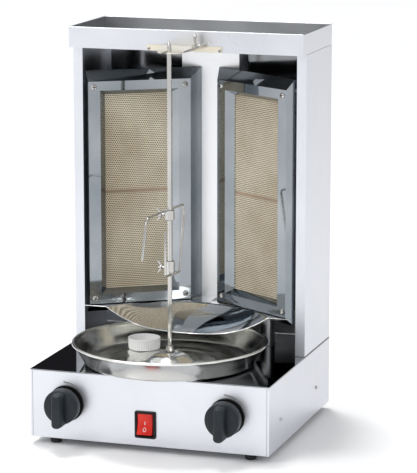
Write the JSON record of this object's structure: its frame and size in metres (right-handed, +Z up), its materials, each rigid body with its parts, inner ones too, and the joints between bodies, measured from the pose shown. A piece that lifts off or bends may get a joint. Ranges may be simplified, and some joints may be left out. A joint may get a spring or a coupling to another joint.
{
  "type": "vertical rotisserie broiler",
  "caption": "Countertop gas rotisserie with an upright skewer and forks, angled ceramic infrared burners, a round drip pan, control knobs and an open tray on top",
  "frame": {"origin": "on the surface it stands on, under the middle of the bounding box", "axes": "+Z up, the front with the knobs faces -Y, +X to the right seen from the front"},
  "size_m": [0.32, 0.3496, 0.5236],
  "materials": {
    "casing_steel": "smooth reflective stainless sheet",
    "bright_steel": "polished stainless",
    "plain_steel": "plain steel",
    "mirror_steel": "mirror-polished stainless",
    "ceramic": "perforated cordierite, matt",
    "dark_steel": "heat-darkened steel",
    "knob_plastic": "satin charcoal",
    "black_plastic": "black, satin",
    "red_plastic": "translucent red, gloss",
    "white_plastic": "satin white",
    "foot_rubber": "matt black",
    "brass": "machined"
  },
  "bodies": {
    "casing": {"base_wrap": "casing_steel", "base_top_plate": "mirror_steel", "base_back_panel": "casing_steel", "base_bottom_plate": "casing_steel", "foot_front_left": "foot_rubber", "foot_front_right": "foot_rubber", "foot_rear_left": "foot_rubber", "foot_rear_right": "foot_rubber", "left_wall": "casing_steel", "right_wall": "casing_steel", "rear_panel": "casing_steel", "rear_reflector": "mirror_steel", "top_tray": "casing_steel", "drip_chute": "mirror_steel", "left_burner_frame": "mirror_steel", "left_burner_tile_upper": "ceramic", "left_burner_tile_lower": "ceramic", "left_burner_box": "casing_steel", "left_burner_mixing_tube": "plain_steel", "left_burner_upper_bracket": "dark_steel", "left_burner_lower_bracket": "dark_steel", "right_burner_frame": "mirror_steel", "right_burner_tile_upper": "ceramic", "right_burner_tile_lower": "ceramic", "right_burner_box": "casing_steel", "right_burner_mixing_tube": "plain_steel", "right_burner_upper_bracket": "dark_steel", "right_burner_lower_bracket": "dark_steel", "drive_motor": "plain_steel", "motor_mount": "dark_steel", "skewer_bracket": "bright_steel", "latch_pin": "bright_steel", "left_knob_disc": "black_plastic", "right_knob_disc": "black_plastic", "left_gas_valve": "brass", "right_gas_valve": "brass", "switch_bezel": "black_plastic", "gas_inlet": "brass", "supply_pipe": "brass", "gas_manifold": "brass", "left_gas_pipe": "brass", "right_gas_pipe": "brass", "left_gas_jet": "brass", "right_gas_jet": "brass", "cord_gland": "black_plastic"},
    "spit_drive": {"drive_hub": "bright_steel", "motor_shaft": "dark_steel"},
    "skewer": {"skewer_rod": "bright_steel"},
    "upper_fork": {"upper_fork": "bright_steel"},
    "upper_thumb_screw": {"upper_fork_thumb_screw": "bright_steel"},
    "lower_fork": {"lower_fork": "bright_steel"},
    "lower_thumb_screw": {"lower_fork_thumb_screw": "bright_steel"},
    "drip_pan": {"drip_pan": "mirror_steel"},
    "drive_cap": {"drive_cap": "white_plastic"},
    "latch": {"latch_wire": "bright_steel"},
    "left_stem": {"left_valve_stem": "brass"},
    "left_knob": {"left_knob": "knob_plastic"},
    "right_stem": {"right_valve_stem": "brass"},
    "right_knob": {"right_knob": "knob_plastic"},
    "rocker": {"switch_rocker": "red_plastic"}
  },
  "joints": [
    {"name": "spit_spin", "type": "hinge", "parent": "casing", "child": "spit_drive", "pos_m": [0, -0.047, 0.1], "axis": [0, 0, 1], "continuous": true},
    {"name": "skewer_lift", "type": "slide", "parent": "spit_drive", "child": "skewer", "axis": [0, 0, 1], "range_m": [0, 0.04]},
    {"name": "upper_fork_slide", "type": "slide", "parent": "skewer", "child": "upper_fork", "axis": [0, 0, 1], "range_m": [-0.015, 0.15]},
    {"name": "lower_fork_slide", "type": "slide", "parent": "skewer", "child": "lower_fork", "axis": [0, 0, 1], "range_m": [-0.08, 0.015]},
    {"name": "upper_thumb_screw_turn", "type": "hinge", "parent": "upper_fork", "child": "upper_thumb_screw", "pos_m": [-0.00944, -0.04596, 0.293], "axis": [0.994, -0.1097, 0], "continuous": true},
    {"name": "lower_thumb_screw_turn", "type": "hinge", "parent": "lower_fork", "child": "lower_thumb_screw", "pos_m": [-0.00936, -0.04537, 0.224], "axis": [0.9851, -0.1719, 0], "continuous": true},
    {"name": "pan_lift", "type": "slide", "parent": "casing", "child": "drip_pan", "axis": [0, 0, 1], "range_m": [0, 0.005]},
    {"name": "cap_slide", "type": "slide", "parent": "drip_pan", "child": "drive_cap", "axis": [0, -1, 0], "range_m": [0, 0.03]},
    {"name": "latch_swing", "type": "hinge", "parent": "casing", "child": "latch", "pos_m": [0.019, 0.001, 0.5044], "axis": [0, 0, 1], "range_deg": [-20, 30]},
    {"name": "left_knob_push", "type": "slide", "parent": "casing", "child": "left_stem", "axis": [0, 1, 0], "range_m": [0, 0.003], "stiffness_N_per_m": 400},
    {"name": "left_knob_turn", "type": "hinge", "parent": "left_stem", "child": "left_knob", "pos_m": [-0.1107, -0.13475, 0.0568], "axis": [0, 1, 0], "range_deg": [0, 180]},
    {"name": "right_knob_push", "type": "slide", "parent": "casing", "child": "right_stem", "axis": [0, 1, 0], "range_m": [0, 0.003], "stiffness_N_per_m": 400},
    {"name": "right_knob_turn", "type": "hinge", "parent": "right_stem", "child": "right_knob", "pos_m": [0.1047, -0.13475, 0.0568], "axis": [0, 1, 0], "range_deg": [0, 180]},
    {"name": "rocker_tilt", "type": "hinge", "parent": "casing", "child": "rocker", "pos_m": [-0.0035, -0.13175, 0.0373], "axis": [1, 0, 0], "range_deg": [0, 18]}
  ]
}
